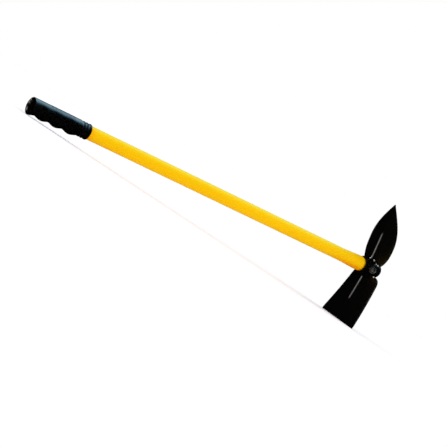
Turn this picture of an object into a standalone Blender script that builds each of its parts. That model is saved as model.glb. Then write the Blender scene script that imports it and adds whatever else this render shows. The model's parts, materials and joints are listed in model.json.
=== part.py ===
"""Short-handled garden hoe: a leaf blade and a trapezoid hoe blade welded to one steel socket,
on a yellow steel tube with a moulded finger grip.

The pieces are modelled along the handle, in the tool's own frame: +X from the butt to the head,
+Z towards the leaf blade, the origin on the handle's axis where the blades' roots meet it.
The tool frame then tilts until the tool rests on the hoe blade's cutting edge and the grip's butt,
with the origin of the whole under the middle of its box.
"""

import math

import bmesh
import bpy
from mathutils import Vector
from mathutils.geometry import interpolate_bezier

MM = 0.001

# Clearances
GAP = 0.3 * MM
BOLT_CLEARANCE = 0.3 * MM

# Handle tube
TUBE_DIAMETER = 22.0 * MM
TUBE_WALL = 1.2 * MM
BUTT_TO_BLADES = 700.0 * MM
SWELL_RISE = 1.6 * MM
SWELL_LENGTH = 44.0 * MM
SWELL_ROUNDING = 4.5 * MM
TUBE_PAST_BOLT = 9.5 * MM

# Grip
GRIP_LENGTH = 106.0 * MM
GRIP_WALL = 1.45 * MM
GRIP_END_WALL = 4.0 * MM
GRIP_EDGE_ROUNDING = 1.2 * MM
GRIP_LIP_ROUNDING = 0.6 * MM
FINGER_PITCH = 25.6 * MM
FINGER_GROOVES = 3
FINGER_RISE = 3.0 * MM
FINGER_WRAP = 1.6
CREST_BREADTH = 0.75

# Socket
SOCKET_WALL = 2.4 * MM
MOUTH_TO_BLADES = 15.0 * MM
BLADES_TO_DOME = 14.0 * MM
MOUTH_BEAD_RISE = 1.5 * MM
MOUTH_BEAD_WIDTH = 3.0 * MM
MOUTH_LEAD_IN = 0.6 * MM

# Blades
BLADE_THICKNESS = 2.5 * MM
GROUND_EDGE_THICKNESS = 0.9 * MM
GROUND_EDGE_WIDTH = 6.0 * MM
GROUND_EDGE_RUN_OUT = 26.0 * MM
BLADE_EDGE_ROUNDING = 0.3 * MM
RIDGE_ROUNDING = 2.0 * MM

# Leaf blade
LEAF_REACH = 115.0 * MM
LEAF_WIDTH = 74.0 * MM
LEAF_WIDEST_AT = 49.0 * MM
LEAF_ROOT_WIDTH = 53.2 * MM
LEAF_ROOT_AT = 10.4 * MM
LEAF_TIP_WIDTH = 1.6 * MM
LEAF_CORNER = 6.0 * MM
LEAF_FOLD_AT_ROOT = math.radians(10.8)
LEAF_FOLD_AT_TIP = math.radians(7.0)
LEAF_LEAN = math.radians(4.6)
LEAF_CURL = 2.8 * MM

# Where the handles of the leaf's curves lie: the share of the way across and along each curve
LEAF_CORNER_HANDLES = ((0.5, 0.0), (0.75, 0.33))
LEAF_SIDE_HANDLES = ((0.59, 0.22), (1.0, 0.55))
LEAF_POINT_HANDLES = ((0.0, 0.41), (0.58, 0.72))

# Hoe blade
HOE_REACH = 100.6 * MM
HOE_EDGE_WIDTH = 98.6 * MM
HOE_SHOULDER_WIDTH = 75.4 * MM
HOE_SHOULDER_AT = 22.0 * MM
HOE_ROOT_AT = 8.2 * MM
HOE_ROOT_FLAT_WIDTH = 48.0 * MM
HOE_FOLD_AT_ROOT = math.radians(13.6)
HOE_LEAN = math.radians(1.2)
HOE_CURL = 3.6 * MM
HOE_ROOT_HANDLE = 0.6
HOE_SHOULDER_HANDLE = 0.62

# Weld beads
WELD_LEG = 3.5 * MM
WELD_BULGE = 1.4
WELD_END_SHARE = 0.4
WELD_END_BLUNTNESS = 8
LEAF_WELD_ARC = math.radians(80.0)
HOE_WELD_ARC = math.radians(104.0)

# Retaining bolt, M6
BOLT_DIAMETER = 6.0 * MM
BOLT_HEAD_HEIGHT = 4.0 * MM
HEX_ACROSS_FLATS = 10.0 * MM
NUT_HEIGHT = 5.0 * MM
BOLT_TIP_CHAMFER = 0.75 * MM
BOLT_PAST_NUT = 2.0 * MM
WASHER_DIAMETER = 12.0 * MM
WASHER_THICKNESS = 1.6 * MM
HEX_CHAMFER = math.radians(30.0)

# Faceting
TUBE_SIDES = 36
SOCKET_SIDES = 40
GRIP_SIDES = 40
BOLT_SIDES = 24
DOME_STEPS = 8
BORE_DOME_STEPS = 6
BEAD_STEPS = 8
SWELL_ROUNDING_STEPS = 5
SWELL_STEPS = 7
EDGE_STEPS = 4
FINGER_STEPS = 8
PLATE_COLUMNS = 8
RIDGE_CROWDING = 1.6
WELD_STEPS = 16
SHARP_ANGLE = math.radians(35.0)
BEVEL_ANGLE = math.radians(50.0)
MERGE_DISTANCE = 0.01 * MM

# Sizes that follow from the ones above
TUBE_RADIUS = TUBE_DIAMETER / 2
GRIP_RADIUS = TUBE_RADIUS + GAP + GRIP_WALL
SOCKET_BORE_RADIUS = TUBE_RADIUS + GAP
SOCKET_RADIUS = SOCKET_BORE_RADIUS + SOCKET_WALL
BOLT_RADIUS = BOLT_DIAMETER / 2
BOLT_HOLE_RADIUS = BOLT_RADIUS + BOLT_CLEARANCE
BOLT_X = BLADE_THICKNESS / 2
WASHER_SEAT = SOCKET_RADIUS + GAP
HEX_SEAT = WASHER_SEAT + WASHER_THICKNESS + GAP

YELLOW_PAINT = (0.956, 0.578, 0.004, 1.0)
BLACK_PAINT = (0.006, 0.006, 0.007, 1.0)
BLACK_VINYL = (0.012, 0.013, 0.015, 1.0)
ZINC = (0.10, 0.10, 0.11, 1.0)


def empty_scene():
    """Removes every object, so the script can run again in the same file."""
    for obj in list(bpy.data.objects):
        bpy.data.objects.remove(obj, do_unlink=True)


def new_collection(name):
    collection = bpy.data.collections.new(name)
    bpy.context.scene.collection.children.link(collection)
    return collection


def new_material(name, colour, roughness, metallic=0.0):
    material = bpy.data.materials.new(name)
    material.use_nodes = True
    shader = material.node_tree.nodes["Principled BSDF"]
    shader.inputs["Base Color"].default_value = colour
    shader.inputs["Roughness"].default_value = roughness
    shader.inputs["Metallic"].default_value = metallic
    material.diffuse_color = colour
    return material


def new_object(name, mesh, material=None):
    """A piece of the tool, carried by the tool frame."""
    obj = bpy.data.objects.new(name, mesh)
    parts.objects.link(obj)
    obj.parent = tool
    if material:
        mesh.materials.append(material)
    return obj


def as_cutter(obj):
    """Moves an object out of the model, to cut or shape other pieces."""
    parts.objects.unlink(obj)
    cutters.objects.link(obj)
    obj.hide_render = True
    obj.display_type = "WIRE"
    return obj


def boolean(obj, other, operation="DIFFERENCE"):
    modifier = obj.modifiers.new(other.name, "BOOLEAN")
    modifier.operation = operation
    modifier.solver = "EXACT"
    modifier.object = other


def finish(obj):
    """Makes the modifiers part of the mesh and shades it smooth between its sharp edges."""
    evaluated = obj.evaluated_get(bpy.context.evaluated_depsgraph_get())
    mesh = bpy.data.meshes.new_from_object(evaluated)
    obj.modifiers.clear()
    obj.data = mesh
    mesh.shade_smooth()
    mesh.set_sharp_from_angle(angle=SHARP_ANGLE)
    return obj


def turned(name, profile, sides, material=None, closed=False):
    """A profile of (radius, height) points, from top to bottom on its outer side, turned about Z."""
    mesh = bpy.data.meshes.new(name)
    points = [(radius, 0.0, height) for radius, height in profile]
    edges = [(i, i + 1) for i in range(len(points) - 1)]
    if closed:
        edges.append((len(points) - 1, 0))
    mesh.from_pydata(points, edges, [])
    obj = new_object(name, mesh, material)
    screw = obj.modifiers.new("turn", "SCREW")
    screw.steps = sides
    screw.render_steps = sides
    screw.use_merge_vertices = True
    screw.merge_threshold = MERGE_DISTANCE
    return obj


def along_handle(obj, x=0.0):
    """Lays a turned piece along the handle, its top towards the head."""
    obj.rotation_euler = (0.0, math.pi / 2, 0.0)
    obj.location = (x, 0.0, 0.0)
    return obj


def across_handle(obj, y=0.0, towards=1):
    """Lays a turned piece along the bolt, its top towards +Y or -Y."""
    obj.rotation_euler = (-towards * math.pi / 2, 0.0, 0.0)
    obj.location = (BOLT_X, y, 0.0)
    return obj


def cylinder(name, radius, height, sides, material=None):
    """A plain cylinder about Z, from height 0 up."""
    return turned(name, [(0, height), (radius, height), (radius, 0), (0, 0)], sides, material)


def loft(name, rings, material):
    """A closed solid through rings of equally many points."""
    mesh = bpy.data.meshes.new(name)
    shape = bmesh.new()
    loops = [[shape.verts.new(point) for point in ring] for ring in rings]
    count = len(rings[0])
    for first, second in zip(loops, loops[1:]):
        for i in range(count):
            j = (i + 1) % count
            shape.faces.new((first[i], first[j], second[j], second[i]))
    shape.faces.new(loops[0])
    shape.faces.new(loops[-1])
    bmesh.ops.recalc_face_normals(shape, faces=shape.faces)
    shape.to_mesh(mesh)
    shape.free()
    return new_object(name, mesh, material)


def blend(share):
    """Rises smoothly from 0 to 1."""
    share = min(max(share, 0.0), 1.0)
    return share * share * (3 - 2 * share)


# Handle tube


def tube_radius(x):
    """Outer radius: plain, then a swell that rounds down to the socket's mouth."""
    stop = -MOUTH_TO_BLADES - GAP
    if x >= stop:
        return TUBE_RADIUS
    back = stop - x
    if back < SWELL_ROUNDING:
        return TUBE_RADIUS + SWELL_RISE * math.sin(math.pi / 2 * back / SWELL_ROUNDING)
    return TUBE_RADIUS + SWELL_RISE * (1 - blend((back - SWELL_ROUNDING) / SWELL_LENGTH))


def make_tube():
    """Drawn steel tube, open at both ends, swelled where it stops against the socket."""
    head_end = BOLT_X + TUBE_PAST_BOLT
    butt_end = -BUTT_TO_BLADES + GRIP_END_WALL + GAP
    stop = -MOUTH_TO_BLADES - GAP
    stations = [head_end, stop]
    steps = range(1, SWELL_ROUNDING_STEPS + 1)
    stations += [stop - SWELL_ROUNDING * i / SWELL_ROUNDING_STEPS for i in steps]
    steps = range(1, SWELL_STEPS + 1)
    stations += [stop - SWELL_ROUNDING - SWELL_LENGTH * i / SWELL_STEPS for i in steps]
    stations.append(butt_end)
    outer = [(tube_radius(x), x) for x in stations]
    inner = [(radius - TUBE_WALL, x) for radius, x in reversed(outer)]
    tube = along_handle(turned("handle_tube", outer + inner, TUBE_SIDES, yellow, closed=True))
    boolean(tube, bolt_hole)
    return tube


# Grip


def finger_wave(distance):
    """How far the grip stands out under the hand, from 0 in a groove to 1 on a crest."""
    if distance > (FINGER_GROOVES + 0.5) * FINGER_PITCH:
        return 0.0
    return (0.5 + 0.5 * math.cos(2 * math.pi * distance / FINGER_PITCH)) ** CREST_BREADTH


def edge_loss(distance, rounding):
    """What a rounded end takes off the radius, at a distance from that end."""
    if distance >= rounding:
        return 0.0
    return rounding - math.sqrt(rounding**2 - (rounding - distance) ** 2)


def grip_ring(distance):
    """The grip's section at a distance from the butt, swelled on the finger side."""
    loss = edge_loss(distance, GRIP_EDGE_ROUNDING)
    loss += edge_loss(GRIP_LENGTH - distance, GRIP_LIP_ROUNDING)
    ring = []
    for i in range(GRIP_SIDES):
        angle = 2 * math.pi * i / GRIP_SIDES
        under = ((1 - math.sin(angle)) / 2) ** FINGER_WRAP
        radius = GRIP_RADIUS + FINGER_RISE * finger_wave(distance) * under - loss
        x = distance - BUTT_TO_BLADES
        ring.append((x, radius * math.cos(angle), radius * math.sin(angle)))
    return ring


def make_grip():
    """Moulded vinyl sleeve with finger grooves, closed at the butt."""
    turns = [math.pi / 2 * i / EDGE_STEPS for i in range(EDGE_STEPS)]
    stations = [GRIP_EDGE_ROUNDING * (1 - math.cos(turn)) for turn in turns]
    waves = (FINGER_GROOVES + 0.5) * FINGER_PITCH - GRIP_EDGE_ROUNDING
    steps = round((FINGER_GROOVES + 0.5) * FINGER_STEPS)
    stations += [GRIP_EDGE_ROUNDING + waves * i / steps for i in range(steps + 1)]
    stations += [GRIP_LENGTH - GRIP_LIP_ROUNDING, GRIP_LENGTH - GRIP_LIP_ROUNDING / 4, GRIP_LENGTH]
    grip = loft("grip", [grip_ring(distance) for distance in stations], vinyl)
    depth = GRIP_LENGTH - GRIP_END_WALL
    bore = cylinder("grip_bore", TUBE_RADIUS + GAP, 2 * depth, TUBE_SIDES)
    as_cutter(along_handle(bore, GRIP_END_WALL - BUTT_TO_BLADES))
    boolean(grip, bore)
    return grip


# Socket


def dome(radius, steps):
    """A quarter circle of (radius, height) from the dome's top down to the socket's straight wall."""
    turns = [math.pi / 2 * i / steps for i in range(1, steps + 1)]
    arc = [(radius * math.sin(t), BLADES_TO_DOME + radius * math.cos(t)) for t in turns]
    return [(0.0, BLADES_TO_DOME + radius)] + arc


def make_socket():
    """Deep-drawn steel cup: domed behind the blades, with a rolled bead round its mouth."""
    profile = dome(SOCKET_RADIUS, DOME_STEPS)
    mouth = -MOUTH_TO_BLADES
    for i in range(BEAD_STEPS + 1):
        turn = math.pi * i / BEAD_STEPS
        radius = SOCKET_RADIUS + MOUTH_BEAD_RISE * math.sin(turn)
        profile.append((radius, mouth + MOUTH_BEAD_WIDTH / 2 * (1 + math.cos(turn))))
    profile.append((SOCKET_BORE_RADIUS + MOUTH_LEAD_IN / 2, mouth))
    profile.append((SOCKET_BORE_RADIUS, mouth + MOUTH_LEAD_IN))
    profile += reversed(dome(SOCKET_BORE_RADIUS, BORE_DOME_STEPS))
    socket = along_handle(turned("socket", profile, SOCKET_SIDES, black))
    boolean(socket, bolt_hole)
    return socket


# Blades


def folded(y, slope):
    """How far a folded plate falls back from its rounded ridge."""
    return slope * (math.hypot(y, RIDGE_ROUNDING) - RIDGE_ROUNDING)


def leaf_slope(z):
    """The leaf's fold opens out evenly from its root to its tip."""
    share = z / LEAF_REACH
    return math.tan(LEAF_FOLD_AT_ROOT) * (1 - share) + math.tan(LEAF_FOLD_AT_TIP) * share


def leaf_middle(y, z):
    """X of the leaf's middle surface: folded, leaning and curling towards the handle."""
    lean = z * math.tan(LEAF_LEAN) + LEAF_CURL * (z / LEAF_REACH) ** 2
    return BLADE_THICKNESS / 2 + folded(y, leaf_slope(z)) - lean


def hoe_slope(z):
    """The hoe's fold dies out at its straight cutting edge."""
    return math.tan(HOE_FOLD_AT_ROOT) * (1 + z / HOE_REACH)


def hoe_middle(y, z):
    """X of the hoe blade's middle surface: folded, leaning and curling towards the handle."""
    lean = -z * math.tan(HOE_LEAN) + HOE_CURL * (z / HOE_REACH) ** 2
    return BLADE_THICKNESS / 2 + folded(y, hoe_slope(z)) - lean


def bezier(start, start_handle, end_handle, end, count):
    """Points of (y, z) along a curve, without its start."""
    knots = [Vector((y, z)) for y, z in (start, start_handle, end_handle, end)]
    return [tuple(point) for point in interpolate_bezier(*knots, count + 1)][1:]


def shaped(start, end, handles, count):
    """A curve whose handles lie at shares of the way across and along it."""
    points = [
        (start[0] + across * (end[0] - start[0]), start[1] + along * (end[1] - start[1]))
        for across, along in handles
    ]
    return bezier(start, *points, end, count)


def leaf_outline():
    """Half the leaf's outline, from its root edge to its tip."""
    root_end = (LEAF_ROOT_WIDTH / 2 - LEAF_CORNER, LEAF_ROOT_AT)
    side_foot = (LEAF_ROOT_WIDTH / 2, LEAF_ROOT_AT + LEAF_CORNER / 2)
    widest = (LEAF_WIDTH / 2, LEAF_WIDEST_AT)
    tip = (LEAF_TIP_WIDTH / 2, LEAF_REACH)
    outline = [root_end]
    outline += shaped(root_end, side_foot, LEAF_CORNER_HANDLES, 4)
    outline += shaped(side_foot, widest, LEAF_SIDE_HANDLES, 7)
    outline += shaped(widest, tip, LEAF_POINT_HANDLES, 14)
    return outline


def hoe_outline():
    """Half the hoe blade's outline, its rounded shoulder running on into its straight side."""
    flat = HOE_ROOT_FLAT_WIDTH / 2
    shoulder = HOE_SHOULDER_WIDTH / 2
    flare = (HOE_EDGE_WIDTH - HOE_SHOULDER_WIDTH) / 2 / (HOE_REACH - HOE_SHOULDER_AT)
    handle_drop = HOE_SHOULDER_HANDLE * (HOE_SHOULDER_AT - HOE_ROOT_AT)
    outline = [(flat, -HOE_ROOT_AT)]
    outline += bezier(
        (flat, -HOE_ROOT_AT),
        (flat + HOE_ROOT_HANDLE * (shoulder - flat), -HOE_ROOT_AT),
        (shoulder - handle_drop * flare, handle_drop - HOE_SHOULDER_AT),
        (shoulder, -HOE_SHOULDER_AT),
        9,
    )
    ground = HOE_REACH - GROUND_EDGE_WIDTH
    lower = [HOE_SHOULDER_AT + (ground - HOE_SHOULDER_AT) * i / 8 for i in range(1, 9)]
    lower += [HOE_REACH - GROUND_EDGE_WIDTH / 2, HOE_REACH]
    outline += [(shoulder + (depth - HOE_SHOULDER_AT) * flare, -depth) for depth in lower]
    return outline


def leaf_sharpness(inset, z):
    """1 on the leaf's ground flanks, fading out below its widest place and inside its edge."""
    upper = blend((z - LEAF_WIDEST_AT + GROUND_EDGE_RUN_OUT) / GROUND_EDGE_RUN_OUT)
    return upper * max(1 - inset / GROUND_EDGE_WIDTH, 0.0)


def hoe_sharpness(inset, z):
    """1 on the hoe's straight cutting edge, fading out above it."""
    return max(1 - (HOE_REACH + z) / GROUND_EDGE_WIDTH, 0.0)


def make_blade(name, outline, middle, sharpness):
    """Pressed plate: half its middle surface, mirrored, thickened and cut to seat on the socket."""
    mesh = bpy.data.meshes.new(name)
    shape = bmesh.new()
    weights = []
    rows = []
    for half_width, z in outline:
        band = min(GROUND_EDGE_WIDTH, half_width / 2)
        inner = half_width - band
        places = [inner * (i / PLATE_COLUMNS) ** RIDGE_CROWDING for i in range(PLATE_COLUMNS + 1)]
        places += [half_width - band / 2, half_width]
        rows.append([shape.verts.new((middle(y, z), y, z)) for y in places])
        weights += [1 - sharpness((half_width - y) * GROUND_EDGE_WIDTH / band, z) for y in places]
    for lower, upper in zip(rows, rows[1:]):
        for i in range(len(lower) - 1):
            shape.faces.new((lower[i], lower[i + 1], upper[i + 1], upper[i]))
    bmesh.ops.recalc_face_normals(shape, faces=shape.faces)
    shape.to_mesh(mesh)
    shape.free()
    blade = new_object(name, mesh, black)
    group = blade.vertex_groups.new(name="full_thickness")
    for index, weight in enumerate(weights):
        group.add([index], weight, "REPLACE")
    mirror = blade.modifiers.new("mirror", "MIRROR")
    mirror.use_axis = (False, True, False)
    mirror.merge_threshold = MERGE_DISTANCE
    solidify = blade.modifiers.new("plate", "SOLIDIFY")
    solidify.thickness = BLADE_THICKNESS
    solidify.offset = 0.0
    solidify.use_even_offset = True
    solidify.vertex_group = group.name
    solidify.thickness_vertex_group = GROUND_EDGE_THICKNESS / BLADE_THICKNESS
    bevel = blade.modifiers.new("edges", "BEVEL")
    bevel.width = BLADE_EDGE_ROUNDING
    bevel.segments = 1
    bevel.limit_method = "ANGLE"
    bevel.angle_limit = BEVEL_ANGLE
    boolean(blade, socket_seat)
    return blade


# Weld beads


def make_weld(name, middle, slope, centre, arc, side):
    """Fillet weld between the socket and one face of a blade: side is -1 in front, 1 behind."""
    corner_radius = SOCKET_RADIUS + GAP
    rings = []
    for i in range(WELD_STEPS + 1):
        share = 2 * i / WELD_STEPS - 1
        angle = centre + share * arc / 2
        leg = WELD_LEG * max(math.sqrt(1 - share**WELD_END_BLUNTNESS), WELD_END_SHARE)
        section = [(0.0, 0.0)]
        for k in range(EDGE_STEPS + 1):
            turn = math.pi / 2 * k / EDGE_STEPS
            out = leg * math.sin(turn) ** (2 / WELD_BULGE)
            up = leg * max(math.cos(turn), 0.0) ** (2 / WELD_BULGE)
            section.append((out, up))
        ring = []
        for out, up in section:
            y = (corner_radius + out) * math.cos(angle)
            z = (corner_radius + out) * math.sin(angle)
            face = BLADE_THICKNESS / 2 * math.hypot(1.0, slope(z)) + GAP
            ring.append((middle(y, z) + side * (face + up), y, z))
        rings.append(ring)
    return loft(name, rings, black)


# Retaining bolt


def hex_prism(name, height, material):
    """A hexagonal prism about Z, from height 0 up."""
    return cylinder(name, HEX_ACROSS_FLATS / math.sqrt(3), height, 6, material)


def chamfer_profile(height, both_ends):
    """A turned blank that cuts the corners off a hexagon's top, or its top and bottom."""
    corner = HEX_ACROSS_FLATS / math.sqrt(3) + GAP
    face = HEX_ACROSS_FLATS / 2
    drop = (corner - face) * math.tan(HEX_CHAMFER)
    low = [(corner, drop), (face, 0), (0, 0)] if both_ends else [(corner, -GAP), (0, -GAP)]
    return [(0, height), (face, height), (corner, height - drop)] + low


def make_bolt():
    """Hexagon bolt through the socket and the tube, its head on the -Y side."""
    length = 2 * HEX_SEAT + NUT_HEIGHT + BOLT_PAST_NUT
    bolt = across_handle(hex_prism("retaining_bolt", BOLT_HEAD_HEIGHT, zinc), -HEX_SEAT, -1)
    profile = chamfer_profile(BOLT_HEAD_HEIGHT, both_ends=False)
    blank = turned("bolt_head_blank", profile, BOLT_SIDES)
    as_cutter(across_handle(blank, -HEX_SEAT, -1))
    boolean(bolt, blank, "INTERSECT")
    profile = [(0, length), (BOLT_RADIUS - BOLT_TIP_CHAMFER, length)]
    profile += [(BOLT_RADIUS, length - BOLT_TIP_CHAMFER), (BOLT_RADIUS, -BOLT_HEAD_HEIGHT / 2)]
    profile.append((0, -BOLT_HEAD_HEIGHT / 2))
    shank = turned("bolt_shank", profile, BOLT_SIDES)
    as_cutter(across_handle(shank, -HEX_SEAT, 1))
    boolean(bolt, shank, "UNION")
    return bolt


def make_nut():
    """Hexagon nut on the +Y side."""
    nut = across_handle(hex_prism("retaining_nut", NUT_HEIGHT, zinc), HEX_SEAT, 1)
    blank = turned("nut_blank", chamfer_profile(NUT_HEIGHT, both_ends=True), BOLT_SIDES)
    as_cutter(across_handle(blank, HEX_SEAT, 1))
    boolean(nut, blank, "INTERSECT")
    boolean(nut, bolt_hole)
    return nut


def make_washer(name, towards):
    """Plain washer between the socket's side and the bolt's head or nut."""
    inner = BOLT_HOLE_RADIUS
    outer = WASHER_DIAMETER / 2
    profile = [(outer, WASHER_THICKNESS), (outer, 0), (inner, 0), (inner, WASHER_THICKNESS)]
    washer = turned(name, profile, BOLT_SIDES, zinc, closed=True)
    return across_handle(washer, towards * WASHER_SEAT, towards)


# The tool at rest


def lowest(points, tilt):
    """The point that comes lowest when the tool frame is turned about Y."""
    return min(points, key=lambda p: p.z * math.cos(tilt) - p.x * math.sin(tilt))


def rest_tilt(blade, butt):
    """The turn about Y that sets the blade's edge and the butt on one level."""
    edge_points = [vertex.co for vertex in blade.data.vertices]
    butt_points = [vertex.co for vertex in butt.data.vertices]
    tilt = 0.0
    for _ in range(8):
        edge = lowest(edge_points, tilt)
        heel = lowest(butt_points, tilt)
        tilt = math.atan2(edge.z - heel.z, edge.x - heel.x)
    return tilt


def stand_on_floor(pieces, tilt):
    """Tilts the tool frame and puts the origin under the middle of the tool's box."""
    tool.rotation_euler = (0.0, tilt, 0.0)
    bpy.context.view_layer.update()
    corners = [p.matrix_world @ vertex.co for p in pieces for vertex in p.data.vertices]
    low = [min(corner[axis] for corner in corners) for axis in range(3)]
    high = [max(corner[axis] for corner in corners) for axis in range(3)]
    tool.location = (-(low[0] + high[0]) / 2, -(low[1] + high[1]) / 2, -low[2])
    bpy.context.view_layer.update()


empty_scene()
parts = new_collection("garden_hoe")
cutters = new_collection("cutters")
tool = bpy.data.objects.new("tool_frame", None)
parts.objects.link(tool)

yellow = new_material("yellow_powder_coat", YELLOW_PAINT, 0.35)
black = new_material("black_paint", BLACK_PAINT, 0.45)
vinyl = new_material("black_vinyl", BLACK_VINYL, 0.3)
zinc = new_material("blackened_zinc", ZINC, 0.35, 0.9)

bolt_hole = cylinder("bolt_hole", BOLT_HOLE_RADIUS, 6 * SOCKET_RADIUS, BOLT_SIDES)
as_cutter(across_handle(bolt_hole, -3 * SOCKET_RADIUS, 1))
seat_length = 2 * (HOE_EDGE_WIDTH + LEAF_REACH)
socket_seat = cylinder("socket_seat", SOCKET_RADIUS + GAP, seat_length, SOCKET_SIDES)
as_cutter(along_handle(socket_seat, -seat_length / 2))

leaf_weld = (leaf_middle, leaf_slope, math.pi / 2, LEAF_WELD_ARC)
hoe_weld = (hoe_middle, hoe_slope, -math.pi / 2, HOE_WELD_ARC)
grip = make_grip()
hoe_blade = make_blade("hoe_blade", hoe_outline(), hoe_middle, hoe_sharpness)
tool_pieces = [
    make_tube(),
    grip,
    make_socket(),
    make_blade("leaf_blade", leaf_outline(), leaf_middle, leaf_sharpness),
    hoe_blade,
    make_weld("leaf_weld_front", *leaf_weld, -1),
    make_weld("leaf_weld_back", *leaf_weld, 1),
    make_weld("hoe_weld_front", *hoe_weld, -1),
    make_weld("hoe_weld_back", *hoe_weld, 1),
    make_bolt(),
    make_nut(),
    make_washer("bolt_washer", -1),
    make_washer("nut_washer", 1),
]
bpy.context.view_layer.update()
for piece in tool_pieces:
    finish(piece)
stand_on_floor(tool_pieces, rest_tilt(hoe_blade, grip))
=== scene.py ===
"""Short-handled garden hoe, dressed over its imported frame.

The sections follow the hoe as it is put together: the tube, its grip, the socket, the two blades,
their weld beads and the cross bolt. Then come the camera, the light and the floor.
Each piece is shaped in the hoe's own axes and settled into the frame at the end of its section.
"""

import json
import math

import bmesh
import bpy
from mathutils import Matrix, Vector
from mathutils.geometry import interpolate_bezier


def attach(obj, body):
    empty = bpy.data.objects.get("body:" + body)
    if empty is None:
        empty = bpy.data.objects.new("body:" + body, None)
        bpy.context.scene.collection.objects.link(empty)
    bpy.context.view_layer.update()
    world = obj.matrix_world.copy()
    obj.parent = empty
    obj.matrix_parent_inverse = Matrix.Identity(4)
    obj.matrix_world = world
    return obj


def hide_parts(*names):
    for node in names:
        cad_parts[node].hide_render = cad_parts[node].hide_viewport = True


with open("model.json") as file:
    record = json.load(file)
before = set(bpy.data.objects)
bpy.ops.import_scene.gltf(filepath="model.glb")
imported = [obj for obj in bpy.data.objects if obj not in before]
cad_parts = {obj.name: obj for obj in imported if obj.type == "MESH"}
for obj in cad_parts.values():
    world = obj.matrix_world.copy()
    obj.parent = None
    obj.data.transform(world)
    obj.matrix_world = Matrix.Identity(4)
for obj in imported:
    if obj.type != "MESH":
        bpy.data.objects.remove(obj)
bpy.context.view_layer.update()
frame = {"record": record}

# The hoe's own axes: X runs along the handle from the butt to the head, Z towards the leaf blade,
# and the origin lies where the blades' roots meet the handle's axis. The record's mount gives the
# middle of the butt and the way it faces, which is back along the handle.
MM = 0.001
BUTT_TO_BLADES = 700 * MM
butt = frame["record"]["mounts"][0]
along = -Vector(butt["axis"]).normalized()
across = Vector((0, 1, 0))
hoe_axes = Matrix((along, across, along.cross(across))).transposed().to_4x4()
hoe_axes.translation = Vector(butt["pos_m"]) + BUTT_TO_BLADES * along


# Handle tube. Drawn steel tube, swelled at the end that stops against the socket and plain where
# it runs on inside. It is powder coated yellow before the grip and the head go on.
TUBE_RADIUS = 11 * MM
TUBE_WALL = 1.2 * MM
TUBE_SIDES = 128
MERGE_DISTANCE = 0.001 * MM
SWELL_RISE = 1.6 * MM
SWELL_LENGTH = 44 * MM
SWELL_ROUNDING = 4.5 * MM
SWELL_STEPS = 30
SWELL_ROUNDING_STEPS = 14
FITTING_GAP = 0.3 * MM
SOCKET_MOUTH = -15 * MM
TUBE_HEAD_END = 10.75 * MM
GRIP_END_WALL = 4 * MM
YELLOW = (0.98, 0.6, 0.003, 1)
YELLOW_THIN = (0.95, 0.56, 0.002, 1)
THIN_SHARE = 0.5
# Painted top light: a lemon yellow along the tube's top stands in for the cool light from above,
# fading out towards the head.
YELLOW_PAINTED_TOP_LIGHT = (0.9, 0.67, 0.003, 1)
TOP_LIGHT_ABOVE = (3 * MM, 11 * MM)
TOP_LIGHT_UP_TO = (-80 * MM, -30 * MM)
# Painted shade: a deeper orange under the tube by the head, and round it by the grip's cuff.
YELLOW_PAINTED_SHADE = (1, 0.42, 0.002, 1)
SHADE_TOWARDS_HEAD = (-100 * MM, -35 * MM)
SHADE_BELOW = (-9 * MM, -1 * MM)
SHADE_BY_CUFF = (-592 * MM, -580 * MM)
CUFF_SHADE_SHARE = 0.45
SPECKS = (0.35, 0.2, 0.01, 1)
SPECKS_SHARE = 0.3


def skinned(rings, closed=False):
    """A shape skinned over rings of equally many points, with no end faces if it is closed."""
    shape = bmesh.new()
    loops = [[shape.verts.new(point) for point in ring] for ring in rings]
    pairs = list(zip(loops, loops[1:]))
    if closed:
        pairs.append((loops[-1], loops[0]))
    else:
        shape.faces.new(loops[0])
        shape.faces.new(loops[-1])
    for first, second in pairs:
        for i in range(len(first)):
            shape.faces.new((first[i - 1], first[i], second[i], second[i - 1]))
    bmesh.ops.remove_doubles(shape, verts=shape.verts, dist=MERGE_DISTANCE)
    bmesh.ops.recalc_face_normals(shape, faces=shape.faces)
    return shape


def turned(profile, sides, closed=False):
    """A shape turned about X from points of (place along X, radius)."""
    turns = [2 * math.pi * i / sides for i in range(sides)]
    rings = [[(x, r * math.cos(t), r * math.sin(t)) for t in turns] for x, r in profile]
    return skinned(rings, closed)


def new_piece(name, shape, finish):
    """Makes a shape an object of the scene, still in the hoe's axes."""
    mesh = bpy.data.meshes.new(name)
    shape.to_mesh(mesh)
    shape.free()
    mesh.materials.append(finish)
    piece = bpy.data.objects.new(name, mesh)
    bpy.context.scene.collection.objects.link(piece)
    return piece


def settle(piece, place=Matrix(), sharp=35):
    """Makes a piece's modifiers part of its mesh, smooths it and puts it in the frame.

    Edges that turn by more than the sharp angle, in degrees, stay sharp.
    """
    finish = piece.data.materials[0]
    evaluated = piece.evaluated_get(bpy.context.evaluated_depsgraph_get())
    mesh = bpy.data.meshes.new_from_object(evaluated)
    piece.modifiers.clear()
    piece.data = mesh
    mesh.materials.clear()
    mesh.materials.append(finish)
    mesh.transform(hoe_axes @ place)
    mesh.shade_smooth()
    mesh.set_sharp_from_angle(angle=math.radians(sharp))
    return piece


def put(tree, kind, sockets=None, **settings):
    """Adds a node, with its settings, and fills its sockets with values or links."""
    node = tree.nodes.new(kind)
    for name, value in settings.items():
        setattr(node, name, value)
    for key, value in (sockets or {}).items():
        if isinstance(value, bpy.types.NodeSocket):
            tree.links.new(value, node.inputs[key])
        else:
            node.inputs[key].default_value = value
    return node


def calc(tree, operation, *values):
    """A Math node's result."""
    return put(tree, "ShaderNodeMath", dict(enumerate(values)), operation=operation).outputs[0]


def parts_of(tree, vector):
    """A vector's three parts."""
    return put(tree, "ShaderNodeSeparateXYZ", {0: vector}).outputs


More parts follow.
